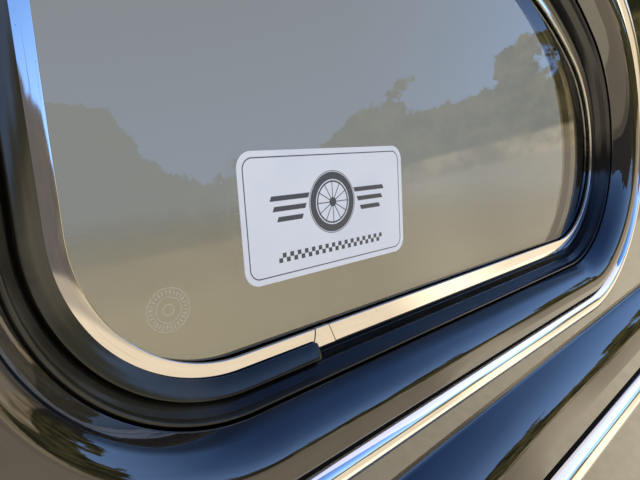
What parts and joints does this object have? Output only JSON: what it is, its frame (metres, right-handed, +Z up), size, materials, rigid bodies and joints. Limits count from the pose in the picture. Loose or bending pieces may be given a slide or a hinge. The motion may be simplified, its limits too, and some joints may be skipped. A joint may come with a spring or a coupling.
{
  "type": "car rear quarter window",
  "caption": "Fixed rear quarter window of a vintage car, glazed in rubber with bright reveal trim, set in its section of black body side panel with bead and belt mouldings.",
  "frame": {"origin": "centre of the four mounting holes, on the inner panel's inboard face", "axes": "+X along the belt towards the car's rear, +Y inboard, +Z up in the plane of the glass"},
  "size_m": [0.82, 0.1267, 0.62],
  "materials": {
    "body_paint": "deep black gloss",
    "primed_steel": "satin dark primer",
    "window_glass": "clear, faint green edge",
    "rubber": "glossy black",
    "bright_trim": "polished stainless",
    "sticker": "white vinyl",
    "garnish": "bright plated",
    "cream_vinyl": "cream pleated vinyl",
    "lining_cloth": "pale grey headlining",
    "piping_vinyl": "burgundy"
  },
  "bodies": {
    "root": {"outer_skin": "body_paint", "inner_panel": "primed_steel", "glass": "window_glass", "weatherstrip": "rubber", "locking_strip": "rubber", "reveal_front": "bright_trim", "reveal_rear": "bright_trim", "joint_clip_lower": "bright_trim", "joint_clip_upper": "bright_trim", "bead_moulding": "bright_trim", "belt_moulding": "bright_trim", "decal": "sticker", "garnish_moulding": "garnish", "trim_board": "cream_vinyl", "roof_lining": "lining_cloth", "piping": "piping_vinyl"}
  },
  "joints": []
}
